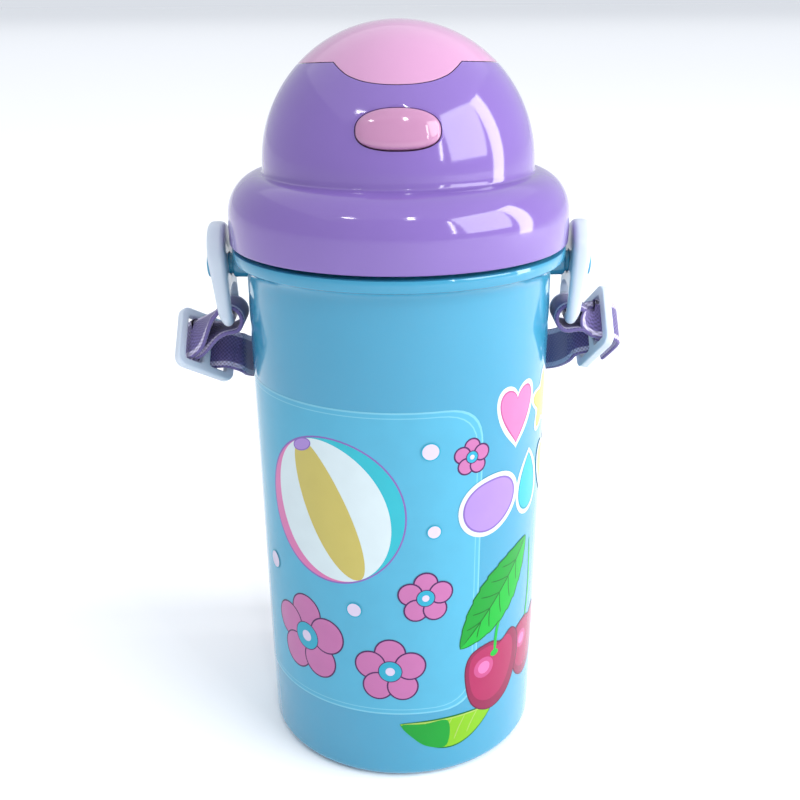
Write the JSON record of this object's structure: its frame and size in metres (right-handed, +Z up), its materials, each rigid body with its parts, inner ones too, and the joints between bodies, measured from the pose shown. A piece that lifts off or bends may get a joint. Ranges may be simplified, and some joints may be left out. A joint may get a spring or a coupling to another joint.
{
  "type": "kids water bottle",
  "caption": "Child's bottle with printed tapered body, screw cap with round collar and dome, push-button flip lid over a pop-up straw spout, and a webbing shoulder strap on side rings.",
  "frame": {"origin": "centre of the bottle's flat base", "axes": "+Z up along the bottle, the button faces -Y, +X to the right seen from the front"},
  "size_m": [0.1144, 0.0936, 0.1875],
  "materials": {
    "body_blue": "glossy injection moulded polypropylene, sky blue",
    "print_film": "printed transfer film",
    "cap_purple": "glossy moulded polypropylene, lavender purple",
    "lid_pink": "glossy moulded polypropylene, pale pink",
    "button_pink": "glossy moulded polypropylene, pink",
    "natural_white": "natural white moulded polypropylene, slightly translucent",
    "silicone": "clear soft silicone, satin",
    "spring_steel": "drawn stainless spring wire",
    "webbing_purple": "woven polyester webbing with white edge stripes",
    "elastic_violet": "woven elastic band"
  },
  "bodies": {
    "bottle": {"bottle_body": "body_blue", "print_film": "print_film"},
    "cap_carrier": {"seal_ring": "silicone"},
    "cap": {"cap_shell": "cap_purple", "cap_insert": "natural_white", "hinge_pin": "spring_steel", "lid_spring": "spring_steel", "button_spring": "spring_steel", "spout_base": "natural_white", "straw": "natural_white", "vent_valve": "silicone"},
    "lid": {"lid_shell": "lid_pink", "lid_liner": "silicone"},
    "spout": {"spout": "silicone"},
    "button": {"button": "button_pink"},
    "strap": {"left_ring": "natural_white", "right_ring": "natural_white", "left_adjuster": "natural_white", "right_adjuster": "natural_white", "strap_webbing": "webbing_purple", "strap_tie": "elastic_violet"}
  },
  "joints": [
    {"name": "cap_rise", "type": "slide", "parent": "bottle", "child": "cap_carrier", "axis": [0, 0, 1], "range_m": [0, 0.0092]},
    {"name": "cap_turn", "type": "hinge", "parent": "cap_carrier", "child": "cap", "pos_m": [0, 0, 0.14], "axis": [0, 0, 1], "range_deg": [0, 660]},
    {"name": "lid_flip", "type": "hinge", "parent": "cap", "child": "lid", "pos_m": [0, 0.0284, 0.1754], "axis": [-1, 0, 0], "range_deg": [0, 110], "deforming": ["lid_spring"]},
    {"name": "spout_pop", "type": "hinge", "parent": "cap", "child": "spout", "pos_m": [0, 0.008, 0.16], "axis": [-1, 0, 0], "range_deg": [0, 66]},
    {"name": "button_press", "type": "slide", "parent": "cap", "child": "button", "axis": [0, 0.9417, -0.3364], "range_m": [0, 0.0025], "stiffness_N_per_m": 600, "deforming": ["button_spring"]},
    {"name": "strap_swing", "type": "hinge", "parent": "bottle", "child": "strap", "pos_m": [0, 0, 0.1295], "axis": [1, 0, 0], "range_deg": [0, 60]}
  ],
  "couplings": [
    {"joint": "cap_rise", "follows": "cap_turn", "m_per_rad": 0.00079577},
    {"joint": "spout_pop", "follows": "lid_flip", "ratio": 0.6}
  ]
}
